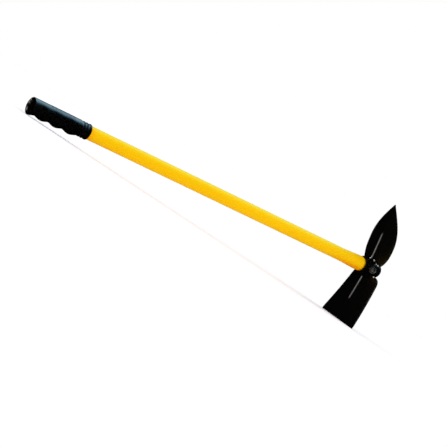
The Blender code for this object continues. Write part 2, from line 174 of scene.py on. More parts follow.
def between(tree, value, low, high, to_low=0.0, to_high=1.0):
    """A value eased from one range into another."""
    sockets = {"Value": value, "From Min": low, "From Max": high}
    sockets.update({"To Min": to_low, "To Max": to_high})
    node = put(tree, "ShaderNodeMapRange", sockets, interpolation_type="SMOOTHSTEP")
    return node.outputs["Result"]


def mixed(tree, share, first, second):
    """Two colours mixed by a share. A Mix node takes colours at 6 and 7 and gives one at 2."""
    sockets = {0: share, 6: first, 7: second}
    return put(tree, "ShaderNodeMix", sockets, data_type="RGBA").outputs[2]


def new_finish(name, **sockets):
    """A Principled material, the place on the hoe as its patterns read it, and its shader."""
    finish = bpy.data.materials.new(name)
    finish.use_nodes = True
    tree = finish.node_tree
    shader = tree.nodes["Principled BSDF"]
    for key, value in sockets.items():
        shader.inputs[key.replace("_", " ")].default_value = value
    where = put(tree, "ShaderNodeTexCoord").outputs["Object"]
    turn = {"Vector": where, "Location": hoe_axes.translation, "Rotation": hoe_axes.to_euler()}
    place = put(tree, "ShaderNodeMapping", turn, vector_type="TEXTURE").outputs["Vector"]
    return finish, tree, shader, place


def noise(tree, place, scale, detail=2.0, stretch=(1, 1, 1), roughness=0.5):
    """Noise on the hoe, stretched along its axes; the scale counts patches to a metre."""
    spread = put(tree, "ShaderNodeMapping", {"Vector": place, "Scale": stretch})
    sockets = {"Vector": spread.outputs["Vector"], "Scale": scale, "Detail": detail}
    sockets["Roughness"] = roughness
    return put(tree, "ShaderNodeTexNoise", sockets).outputs["Fac"]


def raised(tree, shader, *layers):
    """Lays bumps of (height, distance, strength) over each other for the shader's normal."""
    normal = None
    for height, distance, strength in layers:
        sockets = {"Height": height, "Distance": distance, "Strength": strength}
        if normal:
            sockets["Normal"] = normal
        normal = put(tree, "ShaderNodeBump", sockets).outputs["Normal"]
    tree.links.new(normal, shader.inputs["Normal"])


def yellow_powder_coat():
    """Yellow powder coat with orange peel; a lemon yellow along the top is painted top light, and a
    deeper orange under the tube by the head and round the cuff is painted shade.
    """
    finish, tree, shader, place = new_finish(
        "yellow_powder_coat", Specular_IOR_Level=0.12, Specular_Tint=(1, 0.8, 0.06, 1)
    )
    clouds = noise(tree, place, scale=22, detail=3, stretch=(0.3, 1, 1))
    cover = between(tree, clouds, 0.35, 0.7, to_high=THIN_SHARE)
    colour = mixed(tree, cover, YELLOW, YELLOW_THIN)
    parts = parts_of(tree, place)
    # Painted top light along the tube's top, away from the head.
    on_top = between(tree, parts["Z"], *TOP_LIGHT_ABOVE)
    away_from_head = between(tree, parts["X"], *TOP_LIGHT_UP_TO, to_low=1, to_high=0)
    painted_top_light = calc(tree, "MULTIPLY", on_top, away_from_head)
    colour = mixed(tree, painted_top_light, colour, YELLOW_PAINTED_TOP_LIGHT)
    # Painted shade, a deeper orange, under the tube by the head and round it by the grip's cuff.
    by_head = between(tree, parts["X"], *SHADE_TOWARDS_HEAD)
    below = between(tree, parts["Z"], *SHADE_BELOW, to_low=1, to_high=0)
    by_head = calc(tree, "MULTIPLY", by_head, below)
    by_cuff = between(tree, parts["X"], *SHADE_BY_CUFF, to_low=CUFF_SHADE_SHARE, to_high=0)
    painted_shade = calc(tree, "MAXIMUM", by_head, by_cuff)
    colour = mixed(tree, painted_shade, colour, YELLOW_PAINTED_SHADE)
    dust = noise(tree, place, scale=900, detail=1)
    colour = mixed(tree, between(tree, dust, 0.76, 0.82, to_high=SPECKS_SHARE), colour, SPECKS)
    tree.links.new(colour, shader.inputs["Base Color"])
    rubs_and_sheen = noise(tree, place, scale=160, detail=4, stretch=(0.05, 1, 1))
    rubbed_and_sheen = between(tree, rubs_and_sheen, 0.4, 0.72, to_low=0.38, to_high=0.5)
    tree.links.new(rubbed_and_sheen, shader.inputs["Roughness"])
    peel = noise(tree, place, scale=620, detail=1)
    scratches = noise(tree, place, scale=900, detail=2, stretch=(0.02, 1, 1))
    scratches = between(tree, scratches, 0.68, 0.74)
    raised(tree, shader, (peel, 0.12 * MM, 0.25), (scratches, -0.03 * MM, 0.3))
    return finish


def eased(share):
    """A share from 0 to 1 that starts and ends slowly."""
    share = min(max(share, 0), 1)
    return share * share * (3 - 2 * share)


def swelled_radius(x):
    """The tube's outer radius: plain, then a swell that rounds down to the socket's mouth."""
    back = SOCKET_MOUTH - FITTING_GAP - x
    if back <= 0:
        return TUBE_RADIUS
    if back < SWELL_ROUNDING:
        return TUBE_RADIUS + SWELL_RISE * math.sin(math.pi / 2 * back / SWELL_ROUNDING)
    return TUBE_RADIUS + SWELL_RISE * (1 - eased((back - SWELL_ROUNDING) / SWELL_LENGTH))


stop = SOCKET_MOUTH - FITTING_GAP
rounding = [SWELL_ROUNDING * i / SWELL_ROUNDING_STEPS for i in range(SWELL_ROUNDING_STEPS + 1)]
swell = [SWELL_LENGTH * i / SWELL_STEPS for i in range(1, SWELL_STEPS + 1)]
stations = [TUBE_HEAD_END] + [stop - back for back in rounding]
stations += [stop - SWELL_ROUNDING - back for back in swell]
stations.append(-BUTT_TO_BLADES + GRIP_END_WALL + FITTING_GAP)
tube_profile = [(x, swelled_radius(x)) for x in stations]
tube_profile += [(x, radius - TUBE_WALL) for x, radius in reversed(tube_profile)]
yellow = yellow_powder_coat()
yellow_tube = settle(new_piece("yellow_tube", turned(tube_profile, TUBE_SIDES, True), yellow))
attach(yellow_tube, "root")
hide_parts("handle_tube")


# Finger grip. A vinyl sleeve moulded in one piece and pushed on warm, closed at the butt, with
# three finger grooves under the hand, fine ribs under the palm and two beads round its dull cuff.
GRIP_LENGTH = 106 * MM
GRIP_RADIUS = 12.75 * MM
GRIP_BORE_RADIUS = TUBE_RADIUS + FITTING_GAP
BORE_TOLERANCE = 0.1 * MM
GRIP_SIDES = 120
GRIP_EDGE_ROUNDING = 1.2 * MM
GRIP_LIP_ROUNDING = 0.6 * MM
EDGE_STEPS = 8
LIP_STEPS = 6
RIM_STEPS = 4
WALL_STEPS = 200
BUTT_RECESS_RADIUS = 9.4 * MM
BUTT_RECESS_DEPTH = 0.6 * MM
BUTT_STEP_WIDTH = 0.8 * MM
RECESS_RINGS = 8
BUTT_STEP_RINGS = 5
FINGER_PITCH = 25.6 * MM
FINGER_GROOVES = 3
FINGER_RISE = 3 * MM
FINGER_WRAP = 1.6
CREST_BREADTH = 0.75
CUFF_BEADS = 2
CUFF_BEAD_PITCH = 5.5 * MM
CUFF_LAST_GROOVE = 4.6 * MM
CUFF_GROOVE_DEPTH = 0.75 * MM
RIB_PITCH = 2.4 * MM
RIB_COUNT = 19
FIRST_RIB = 31 * MM
RIB_THICKNESS = 0.9 * MM
RIB_RISE = 0.16 * MM
RIB_ARC = math.radians(96)
RIB_ARC_POINTS = 25
RIB_SIDES = 8
VINYL = (0.0012, 0.0014, 0.002, 1)
VINYL_WORN = (0.003, 0.0033, 0.004, 1)
WORN_SHARE = 0.35
# Grey scuffs on the butt's rim, placed where it catches the light: painted glints as well as
# scuffs.
VINYL_SCUFF_AND_GLINT = (0.42, 0.44, 0.46, 1)
DULL_CUFF_FROM = (-611 * MM, -609.5 * MM)
CUFF_DULLNESS = 0.3
SCUFF_AND_GLINT_DULLNESS = 0.25
BUTT_SCUFFS_AND_GLINTS = (
    (7 * MM, 6.4 * MM, 1.7 * MM),
    (8.2 * MM, 2.3 * MM, 1.9 * MM),
    (6.4 * MM, -6.2 * MM, 1.4 * MM),
    (5.2 * MM, -8 * MM, 1.5 * MM),
)


def black_vinyl():
    """Glossy black vinyl: a fine moulded grain, dull on the cuff, with grey scuffs on the butt's
    rim that are painted glints as well as scuffs.
    """
    finish, tree, shader, place = new_finish(
        "black_vinyl", Specular_IOR_Level=1, Coat_Weight=0.6, Coat_Roughness=0.2
    )
    worn = between(tree, noise(tree, place, scale=55, detail=4), 0.38, 0.7)
    colour = mixed(tree, calc(tree, "MULTIPLY", worn, WORN_SHARE), VINYL, VINYL_WORN)
    # Scuffs that are also painted glints on the butt's rim.
    scuffs_and_glints = put(tree, "ShaderNodeAttribute", attribute_name="scuffs_and_glints").outputs["Fac"]
    patchy = noise(tree, place, scale=700, detail=3)
    scuffs_and_glints = calc(tree, "MULTIPLY", scuffs_and_glints, between(tree, patchy, 0.36, 0.6, to_low=0.15))
    colour = mixed(tree, scuffs_and_glints, colour, VINYL_SCUFF_AND_GLINT)
    tree.links.new(colour, shader.inputs["Base Color"])
    dull = between(tree, worn, 0, 1, to_low=0.26, to_high=0.36)
    on_cuff = between(tree, parts_of(tree, place)["X"], *DULL_CUFF_FROM, to_high=CUFF_DULLNESS)
    dull = calc(tree, "ADD", dull, on_cuff)
    dull = calc(tree, "MULTIPLY_ADD", scuffs_and_glints, SCUFF_AND_GLINT_DULLNESS, dull)
    tree.links.new(dull, shader.inputs["Roughness"])
    grain = noise(tree, place, scale=1500, detail=1)
    dents = noise(tree, place, scale=90, detail=2)
    raised(tree, shader, (dents, 0.35 * MM, 0.2), (grain, 0.05 * MM, 0.25))
    return finish


def quarter(steps):
    """The turns of a quarter circle in equal steps, from none."""
    return [math.pi / 2 * i / steps for i in range(steps + 1)]


def sleeve_profile():
    """The sleeve before the fingers swell it: butt, outside, cuff, lip and bore, as (x, radius)."""
    face = -BUTT_TO_BLADES
    lip = face + GRIP_LENGTH
    floor = face + BUTT_RECESS_DEPTH
    floor_radius = BUTT_RECESS_RADIUS - BUTT_STEP_WIDTH
    rings = range(RECESS_RINGS + 1)
    profile = [(floor, floor_radius * math.sqrt(i / RECESS_RINGS)) for i in rings]
    for turn in quarter(BUTT_STEP_RINGS)[1:]:
        step = BUTT_RECESS_RADIUS - BUTT_STEP_WIDTH * math.cos(turn)
        profile.append((floor - BUTT_RECESS_DEPTH * math.sin(turn) ** 2, step))
    rim = GRIP_RADIUS - GRIP_EDGE_ROUNDING - BUTT_RECESS_RADIUS
    profile += [(face, BUTT_RECESS_RADIUS + rim * i / RIM_STEPS) for i in range(1, RIM_STEPS)]
    for turn in quarter(EDGE_STEPS):
        x = face + GRIP_EDGE_ROUNDING * (1 - math.cos(turn))
        profile.append((x, GRIP_RADIUS - GRIP_EDGE_ROUNDING * (1 - math.sin(turn))))
    span = lip - GRIP_LIP_ROUNDING - face - GRIP_EDGE_ROUNDING
    for i in range(1, WALL_STEPS + 1):
        x = face + GRIP_EDGE_ROUNDING + span * i / WALL_STEPS
        turn = (lip - x - CUFF_LAST_GROOVE) / CUFF_BEAD_PITCH
        in_cuff = -0.5 < turn < CUFF_BEADS + 0.5
        groove = abs(math.cos(math.pi * turn)) if in_cuff else 0
        profile.append((x, GRIP_RADIUS - CUFF_GROOVE_DEPTH * groove))
    for turn in quarter(LIP_STEPS)[1:]:
        x = lip - GRIP_LIP_ROUNDING * (1 - math.sin(turn))
        profile.append((x, GRIP_RADIUS - GRIP_LIP_ROUNDING * (1 - math.cos(turn))))
    profile += [(lip, GRIP_BORE_RADIUS), (face + GRIP_END_WALL, GRIP_BORE_RADIUS)]
    profile.append((face + GRIP_END_WALL, 0))
    return profile


def nodes_tree(name, **inputs):
    """A Geometry Nodes tree, its inputs' sockets by name, and their values by identifier."""
    tree = bpy.data.node_groups.new(name, "GeometryNodeTree")
    tree.interface.new_socket("Geometry", in_out="INPUT", socket_type="NodeSocketGeometry")
    tree.interface.new_socket("Geometry", in_out="OUTPUT", socket_type="NodeSocketGeometry")
    identifiers = {}
    for key, value in inputs.items():
        kind = {int: "Int", float: "Float"}.get(type(value), "Material")
        label = key.replace("_", " ").capitalize()
        socket = tree.interface.new_socket(label, in_out="INPUT", socket_type="NodeSocket" + kind)
        identifiers[socket.identifier] = value
    source = put(tree, "NodeGroupInput").outputs
    return tree, source, identifiers


def close_tree(tree, geometry, material):
    """Ends a tree with real geometry in the piece's own material."""
    real = put(tree, "GeometryNodeRealizeInstances", {"Geometry": geometry})
    sockets = {"Geometry": real.outputs[0], "Material": material}
    last = put(tree, "GeometryNodeSetMaterial", sockets)
    put(tree, "NodeGroupOutput", {"Geometry": last.outputs[0]})


def off_axis(tree, parts):
    """How far a point lies from the handle's axis, as a vector and as a length."""
    flat = put(tree, "ShaderNodeCombineXYZ", {"Y": parts["Y"], "Z": parts["Z"]}).outputs[0]
    return flat, put(tree, "ShaderNodeVectorMath", {0: flat}, operation="LENGTH").outputs["Value"]


def moved(tree, geometry, direction, distance):
    """Geometry moved along a direction by a distance."""
    offset = put(tree, "ShaderNodeVectorMath", {0: direction, "Scale": distance}, operation="SCALE")
    sockets = {"Geometry": geometry, "Offset": offset.outputs[0]}
    return put(tree, "GeometryNodeSetPosition", sockets).outputs[0]


def swept(tree, path, sides, radius):
    """A round bar along a path, with closed ends."""
    sockets = {"Resolution": sides, "Radius": radius}
    section = put(tree, "GeometryNodeCurvePrimitiveCircle", sockets).outputs[0]
    sockets = {"Curve": path, "Profile Curve": section, "Fill Caps": True}
    return put(tree, "GeometryNodeCurveToMesh", sockets).outputs[0]


def joined(tree, geometry, added):
    """Geometry with more joined to it."""
    node = put(tree, "GeometryNodeJoinGeometry", {"Geometry": added})
    tree.links.new(geometry, node.inputs["Geometry"])
    return node.outputs[0]


def add_nodes(piece, tree, identifiers):
    """Puts a tree on a piece and sets its inputs."""
    modifier = piece.modifiers.new(tree.name, "NODES")
    modifier.node_group = tree
    for identifier, value in identifiers.items():
        modifier[identifier] = value


def spots_at(y, z, places):
    """How strongly spots at places of (y, z, reach) mark a point: worn spots that also stand in for
    glints, a painted highlight.
    """
    hits = [math.exp(-((y - a) ** 2 + (z - b) ** 2) / reach**2) for a, b, reach in places]
    return max(hits, default=0)


def finger_swells(vinyl):
    """Swells the sleeve into rounded crests, fullest under the hand and none under the palm."""
    tree, source, identifiers = nodes_tree(
        "finger_swells",
        butt_at=-BUTT_TO_BLADES,
        sleeve_radius=GRIP_RADIUS,
        finger_pitch=FINGER_PITCH,
        finger_grooves=FINGER_GROOVES,
        finger_rise=FINGER_RISE,
        finger_wrap=FINGER_WRAP,
        crest_breadth=CREST_BREADTH,
        vinyl=vinyl,
    )
    parts = parts_of(tree, put(tree, "GeometryNodeInputPosition").outputs[0])
    flat, radius = off_axis(tree, parts)
    outward = put(tree, "ShaderNodeVectorMath", {0: flat}, operation="NORMALIZE").outputs[0]
    upward = parts_of(tree, outward)["Z"]
    under = calc(tree, "MULTIPLY", calc(tree, "SUBTRACT", 1.0, upward), 0.5)
    under = calc(tree, "POWER", under, source["Finger wrap"])
    distance = calc(tree, "SUBTRACT", parts["X"], source["Butt at"])
    turns = calc(tree, "DIVIDE", distance, source["Finger pitch"])
    wave = calc(tree, "COSINE", calc(tree, "MULTIPLY", turns, 2 * math.pi))
    wave = calc(tree, "MULTIPLY_ADD", wave, 0.5, 0.5)
    wave = calc(tree, "POWER", wave, source["Crest breadth"])
    last = calc(tree, "ADD", source["Finger grooves"], 0.5)
    wave = calc(tree, "MULTIPLY", wave, calc(tree, "LESS_THAN", turns, last))
    name = {"Name": "on_the_outside"}
    outside = put(tree, "GeometryNodeInputNamedAttribute", name, data_type="FLOAT").outputs[0]
    reach = calc(tree, "MINIMUM", calc(tree, "DIVIDE", radius, source["Sleeve radius"]), 1.0)
    lift = calc(tree, "MULTIPLY", calc(tree, "MULTIPLY", wave, under), source["Finger rise"])
    lift = calc(tree, "MULTIPLY", calc(tree, "MULTIPLY", lift, outside), reach)
    close_tree(tree, moved(tree, source["Geometry"], outward, lift), source["Vinyl"])
    return tree, identifiers


def palm_ribs(vinyl):
    """Lays fine half-sunk ribs across the palm's side of the sleeve."""
    tree, source, identifiers = nodes_tree(
        "palm_ribs",
        first_rib_at=FIRST_RIB - BUTT_TO_BLADES,
        rib_count=RIB_COUNT,
        rib_pitch=RIB_PITCH,
        rib_half_thickness=RIB_THICKNESS / 2,
        rib_circle=GRIP_RADIUS + RIB_RISE - RIB_THICKNESS / 2,
        rib_arc=RIB_ARC,
        vinyl=vinyl,
    )
    start = put(tree, "ShaderNodeCombineXYZ", {"X": source["First rib at"]}).outputs[0]
    step = put(tree, "ShaderNodeCombineXYZ", {"X": source["Rib pitch"]}).outputs[0]
    sockets = {"Count": source["Rib count"], "Start Location": start, "Offset": step}
    places = put(tree, "GeometryNodeMeshLine", sockets).outputs[0]
    begin = calc(tree, "MULTIPLY", source["Rib arc"], -0.5)
    sockets = {"Resolution": RIB_ARC_POINTS, "Radius": source["Rib circle"]}
    sockets.update({"Start Angle": begin, "Sweep Angle": source["Rib arc"]})
    arc = put(tree, "GeometryNodeCurveArc", sockets, mode="RADIUS").outputs[0]
    rib = swept(tree, arc, RIB_SIDES, source["Rib half thickness"])
    sockets = {"Geometry": rib, "Rotation": (0, -math.pi / 2, 0)}
    rib = put(tree, "GeometryNodeTransform", sockets).outputs[0]
    sockets = {"Points": places, "Instance": rib}
    ribs = put(tree, "GeometryNodeInstanceOnPoints", sockets).outputs[0]
    close_tree(tree, joined(tree, source["Geometry"], ribs), source["Vinyl"])
    return tree, identifiers


vinyl = black_vinyl()
sleeve = turned(sleeve_profile(), GRIP_SIDES)
outside = sleeve.verts.layers.float.new("on_the_outside")
scuffs_and_glints = sleeve.verts.layers.float.new("scuffs_and_glints")
for point in sleeve.verts:
    in_bore = math.hypot(point.co.y, point.co.z) < GRIP_BORE_RADIUS + BORE_TOLERANCE
    in_wall = point.co.x < -BUTT_TO_BLADES + GRIP_END_WALL / 2
    point[outside] = float(in_wall or not in_bore)
    # Spots on the butt's rim: scuffs that also stand in for its glints, a painted highlight.
    on_butt = point.co.x < -BUTT_TO_BLADES + GRIP_EDGE_ROUNDING
    point[scuffs_and_glints] = spots_at(point.co.y, point.co.z, BUTT_SCUFFS_AND_GLINTS) if on_butt else 0
finger_grip = new_piece("finger_grip", sleeve, vinyl)
add_nodes(finger_grip, *finger_swells(vinyl))
add_nodes(finger_grip, *palm_ribs(vinyl))
settle(finger_grip)
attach(finger_grip, "root")
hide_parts("grip")


# Socket. A deep-drawn steel cup over the tube's end, domed behind the blades and rolled into a
# bead round its mouth. Like the blades and their welds it is painted black after welding.
SOCKET_RADIUS = 13.7 * MM
SOCKET_BORE_RADIUS = TUBE_RADIUS + FITTING_GAP
SOCKET_SIDES = 128
BLADES_TO_DOME = 14 * MM
MOUTH_BEAD_RISE = 1.5 * MM
MOUTH_BEAD_WIDTH = 3 * MM
MOUTH_LEAD_IN = 0.6 * MM
DOME_STEPS = 24
BORE_DOME_STEPS = 12
MOUTH_BEAD_STEPS = 24
BLACK = (0.0018, 0.0018, 0.0022, 1)
# Primer grey shows at worn rims, and along the creases as a painted highlight as well as rubbed
# paint.
PRIMER_AND_HIGHLIGHT_GREY = (0.3, 0.325, 0.375, 1)
# Bare steel shows in spots that are painted glints as well as knocks.
BARE_STEEL_GLINT = (0.7, 0.74, 0.82, 1)
# How strongly the crease's lighter line shows, a painted highlight as well as rubbed paint.
CREASE_LINE_STRENGTH = 0.9
LEAST_CREASE_LINE_STRENGTH = 0.6 * CREASE_LINE_STRENGTH
RIM_WEAR = 0.12
WORN_DULLNESS = 0.2
RAGGEDNESS = 0.8
GREY_RING_SHOWS = (0.3, 0.5)
STEEL_GLINT_SHOWS = (0.42, 0.6)
MARKS = ("crease", "rim", "knocks_and_glints")


def black_enamel():
    """Black enamel over grey primer, chipped at rims; a lighter grey line down the creases is a
    painted highlight as well as rubbed paint, and bare-steel spots are painted glints as well as
    knocks.
    """
    finish, tree, shader, place = new_finish("black_enamel", Specular_IOR_Level=0.18)
    patches = noise(tree, place, scale=70, detail=4)
    mark = [put(tree, "ShaderNodeAttribute", attribute_name=name).outputs["Fac"] for name in MARKS]
    crease, rim, knocks_and_glints = mark
    uneven = between(tree, patches, 0.25, 0.6, to_low=LEAST_CREASE_LINE_STRENGTH, to_high=CREASE_LINE_STRENGTH)
    primer_showing = calc(tree, "MULTIPLY", crease, uneven)
    chips = noise(tree, place, scale=480, detail=3)
    chips = between(tree, chips, 0.5, 0.62, to_high=RIM_WEAR)
    primer_showing = calc(tree, "ADD", primer_showing, calc(tree, "MULTIPLY", chips, rim))
    ragged = noise(tree, place, scale=650, detail=3)
    ragged = calc(tree, "MULTIPLY_ADD", ragged, RAGGEDNESS, -RAGGEDNESS / 2)
    # Spots knocked to bare steel, which are also painted glints.
    spots_and_glints = calc(tree, "ADD", knocks_and_glints, ragged)
    primer_showing = calc(tree, "MAXIMUM", primer_showing, between(tree, spots_and_glints, *GREY_RING_SHOWS))
    colour = mixed(tree, primer_showing, BLACK, PRIMER_AND_HIGHLIGHT_GREY)
    colour = mixed(tree, between(tree, spots_and_glints, *STEEL_GLINT_SHOWS), colour, BARE_STEEL_GLINT)
    tree.links.new(colour, shader.inputs["Base Color"])
    dull = between(tree, patches, 0.3, 0.7, to_low=0.28, to_high=0.38)
    dull = calc(tree, "MULTIPLY_ADD", primer_showing, WORN_DULLNESS, dull)
    tree.links.new(dull, shader.inputs["Roughness"])
    runs = noise(tree, place, scale=240, detail=2, stretch=(1, 1, 0.35))
    pits = noise(tree, place, scale=1300, detail=2)
    raised(tree, shader, (runs, 0.06 * MM, 0.25), (pits, 0.025 * MM, 0.3), (primer_showing, -0.05 * MM, 1))
    return finish


def domed(radius, steps):
    """A dome's quarter circle behind the blades, from its top to the straight wall."""
    turns = quarter(steps)
    return [(BLADES_TO_DOME + radius * math.cos(t), radius * math.sin(t)) for t in turns]


socket_profile = domed(SOCKET_RADIUS, DOME_STEPS)
for i in range(MOUTH_BEAD_STEPS + 1):
    turn = math.pi * i / MOUTH_BEAD_STEPS
    x = SOCKET_MOUTH + MOUTH_BEAD_WIDTH / 2 * (1 + math.cos(turn))
    socket_profile.append((x, SOCKET_RADIUS + MOUTH_BEAD_RISE * math.sin(turn)))
socket_profile.append((SOCKET_MOUTH, SOCKET_BORE_RADIUS + MOUTH_LEAD_IN / 2))
socket_profile.append((SOCKET_MOUTH + MOUTH_LEAD_IN, SOCKET_BORE_RADIUS))
socket_profile += reversed(domed(SOCKET_BORE_RADIUS, BORE_DOME_STEPS))
black = black_enamel()
drawn_socket = settle(new_piece("drawn_socket", turned(socket_profile, SOCKET_SIDES), black))
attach(drawn_socket, "root")
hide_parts("socket")


# Blades. Two plates of 2.5 mm steel, each pressed with a crease down its middle that faces the
# handle, cut to a half round that seats on the socket, and ground thin along its working edge.
BLADE_THICKNESS = 2.5 * MM
GROUND_EDGE_THICKNESS = 0.9 * MM
GROUND_EDGE_WIDTH = 6 * MM
GROUND_EDGE_RUN_OUT = 26 * MM
BLADE_EDGE_ROUNDING = 0.3 * MM
RIDGE_ROUNDING = 2 * MM
# The lighter line down each crease is a painted highlight as well as rubbed paint.
CREASE_LINE_WIDTH = 1.3 * MM
CREASE_LINE_RUN_OUT = 4 * MM
CREASE_LINE_FADE = 0.35
RUBBED_RIM_WIDTH = 1.5 * MM
RIDGE_CROWDING = 1.4
PLATE_COLUMNS = 20
PLATE_ROW = 1.5 * MM
SLOPE_STEP = 0.01 * MM
SEAT_REACH = 60 * MM
SEAT_SIDES = 160
RIM_INSETS = (0, 0.05 * MM, 0.15 * MM, 0.3 * MM, 1 * MM, 2 * MM, 3 * MM, 4.5 * MM, 6 * MM)
RIM_ROWS = 4


def folded(y, slope):
    """How far a folded plate falls back from its rounded crease."""
    return slope * (math.hypot(y, RIDGE_ROUNDING) - RIDGE_ROUNDING)


def curve(start, start_handle, end_handle, end, count):
    """Points of (y, z) along a curve, without its start."""
    knots = [Vector((y, z)) for y, z in (start, start_handle, end_handle, end)]
    return [tuple(point) for point in interpolate_bezier(*knots, count + 1)][1:]


def half_width(outline, z):
    """A plate's half width at a height between two of its outline's points."""
    for (wide, low), (next_wide, high) in zip(outline, outline[1:]):
        if min(low, high) <= z <= max(low, high) and low != high:
            return wide + (next_wide - wide) * (z - low) / (high - low)
    return outline[-1][0]


def inset_from(y, z, edges):
    """How far inside its outline a point of a plate lies."""
    point = Vector((abs(y), z))
    nearest = math.inf
    for first, span, length_squared in edges:
        share = min(max((point - first).dot(span) / length_squared, 0), 1)
        nearest = min(nearest, (point - first - share * span).length)
    return nearest


def crease_line_between(z, near, far):
    """How strongly a crease's lighter line shows, a painted highlight as well as rubbed paint, less
    towards its far end and not at all outside.
    """
    share = (z - near) / (far - near)
    length = abs(far - near)
    ends = eased(share * length / CREASE_LINE_RUN_OUT) * eased((1 - share) * length / CREASE_LINE_RUN_OUT)
    return ends * (1 - CREASE_LINE_FADE * min(max(share, 0), 1))


def rim_rounding(inset):
    """What a rounded rim takes off each face of a plate."""
    short = max(BLADE_EDGE_ROUNDING - inset, 0)
    return BLADE_EDGE_ROUNDING - math.sqrt(BLADE_EDGE_ROUNDING**2 - short**2)


def pressed_plate(name, outline, middle, sharpness, rubbed_and_sheen, knocks_and_glints):
    """Skins a plate's two faces and its rim, and cuts it to seat on the socket."""
    corners = [Vector((0, outline[0][1]))] + [Vector(p) for p in outline]
    corners.append(Vector((0, outline[-1][1])))
    edges = [(a, b - a, (b - a).length_squared) for a, b in zip(corners, corners[1:])]
    root, end = outline[0][1], outline[-1][1]
    steps = round(abs(end - root) / PLATE_ROW)
    rows = [root + (end - root) * i / steps for i in range(1, steps)]
    out = math.copysign(1, end - root)
    rows = [root + out * inset for inset in RIM_INSETS[:RIM_ROWS]] + rows
    rows += [end - out * inset for inset in reversed(RIM_INSETS[:RIM_ROWS])]
    shape = bmesh.new()
    crease, rim, knock_glint = (shape.verts.layers.float.new(mark) for mark in MARKS)
    faces = {-1: [], 1: []}
    for z in rows:
        wide = half_width(outline, z)
        narrow = min(1, wide / (2 * RIM_INSETS[-1]))
        inner = wide - RIM_INSETS[-1] * narrow
        half = [inner * (i / PLATE_COLUMNS) ** RIDGE_CROWDING for i in range(PLATE_COLUMNS)]
        half += [wide - inset * narrow for inset in reversed(RIM_INSETS)]
        places = [-y for y in reversed(half[1:])] + half
        insets = [inset_from(y, z, edges) for y in places]
        for side, grid in faces.items():
            row = []
            for y, inset in zip(places, insets):
                ground = (BLADE_THICKNESS - GROUND_EDGE_THICKNESS) * sharpness(inset, z)
                slopes = (
                    (middle(y + SLOPE_STEP, z) - middle(y, z)) / SLOPE_STEP,
                    (middle(y, z + SLOPE_STEP) - middle(y, z)) / SLOPE_STEP,
                )
                lean = math.sqrt(1 + slopes[0] ** 2 + slopes[1] ** 2)
                depth = ((BLADE_THICKNESS - ground) / 2 - rim_rounding(inset)) * lean
                point = shape.verts.new((middle(y, z) + side * depth, y, z))
                # The crease's lighter line: a painted highlight as well as rubbed paint.
                rubs_and_sheen = crease_line_between(z, *rubbed_and_sheen)
                if side < 0:
                    point[crease] = math.exp(-((y / CREASE_LINE_WIDTH) ** 2)) * rubs_and_sheen
                    # Spots that are painted glints as well as knocks.
                    point[knock_glint] = spots_at(y, z, knocks_and_glints)
                point[rim] = max(1 - inset / RUBBED_RIM_WIDTH, 0)
                row.append(point)
            grid.append(row)
    for grid in faces.values():
        for lower, upper in zip(grid, grid[1:]):
            for i in range(len(lower) - 1):
                shape.faces.new((lower[i], lower[i + 1], upper[i + 1], upper[i]))
    front, back = faces[-1], faces[1]
    walls = [([row[i] for row in front], [row[i] for row in back]) for i in (0, -1)]
    walls += [(front[i], back[i]) for i in (0, -1)]
    for near, far in walls:
        for i in range(len(near) - 1):
            shape.faces.new((near[i], near[i + 1], far[i + 1], far[i]))
    bmesh.ops.recalc_face_normals(shape, faces=shape.faces)
    plate = new_piece(name, shape, black)
    seat = plate.modifiers.new("seat", "BOOLEAN")
    seat.operation = "DIFFERENCE"
    seat.solver = "EXACT"
    seat.object = socket_seat
    return settle(plate)


seat_profile = [(x, SOCKET_RADIUS + FITTING_GAP) for x in (-SEAT_REACH, SEAT_REACH)]
seat_profile = [(seat_profile[0][0], 0)] + seat_profile + [(seat_profile[1][0], 0)]
socket_seat = new_piece("socket_seat", turned(seat_profile, SEAT_SIDES), black)

# Leaf blade. It leans and curls a little towards the handle, and its fold opens out to the point.
LEAF_REACH = 115 * MM
LEAF_WIDTH = 74 * MM
LEAF_WIDEST_AT = 49 * MM
LEAF_ROOT_WIDTH = 53.2 * MM
LEAF_ROOT_AT = 10.4 * MM
LEAF_TIP_WIDTH = 1.6 * MM
LEAF_CORNER = 6 * MM
LEAF_FOLD_AT_ROOT = math.radians(10.8)
LEAF_FOLD_AT_TIP = math.radians(7)
LEAF_LEAN = math.radians(4.6)
LEAF_CURL = 2.8 * MM
LEAF_CORNER_HANDLES = ((0.5, 0), (0.75, 0.33))
LEAF_SIDE_HANDLES = ((0.59, 0.22), (1, 0.55))
LEAF_FLANK_HANDLES = ((0, 0.41), (0.58, 0.72))
LEAF_CORNER_POINTS = 12
LEAF_SIDE_POINTS = 20
LEAF_FLANK_POINTS = 36
# Where the leaf's crease shows its lighter line, a painted highlight as well as rubbed paint.
LEAF_CREASE_LINE = (10 * MM, 64 * MM)
# Bare-steel spots at the leaf's root, placed where they catch the light: painted glints as well as
# knocks.
LEAF_KNOCKS_AND_GLINTS = (
    (0.6 * MM, 19.2 * MM, 1.1 * MM),
    (-8.2 * MM, 15.4 * MM, 2 * MM),
    (-14.3 * MM, 13.7 * MM, 0.7 * MM),
    (-16.4 * MM, 11.8 * MM, 1 * MM),
    (-20.8 * MM, 10.3 * MM, 2 * MM),
)


def leaf_slope(z):
    """The slope of the leaf's fold, which opens out to the point."""
    share = z / LEAF_REACH
    return math.tan(LEAF_FOLD_AT_ROOT) * (1 - share) + math.tan(LEAF_FOLD_AT_TIP) * share


def leaf_middle(y, z):
    """X of the leaf's middle surface."""
    lean = z * math.tan(LEAF_LEAN) + LEAF_CURL * (z / LEAF_REACH) ** 2
    return BLADE_THICKNESS / 2 + folded(y, leaf_slope(z)) - lean


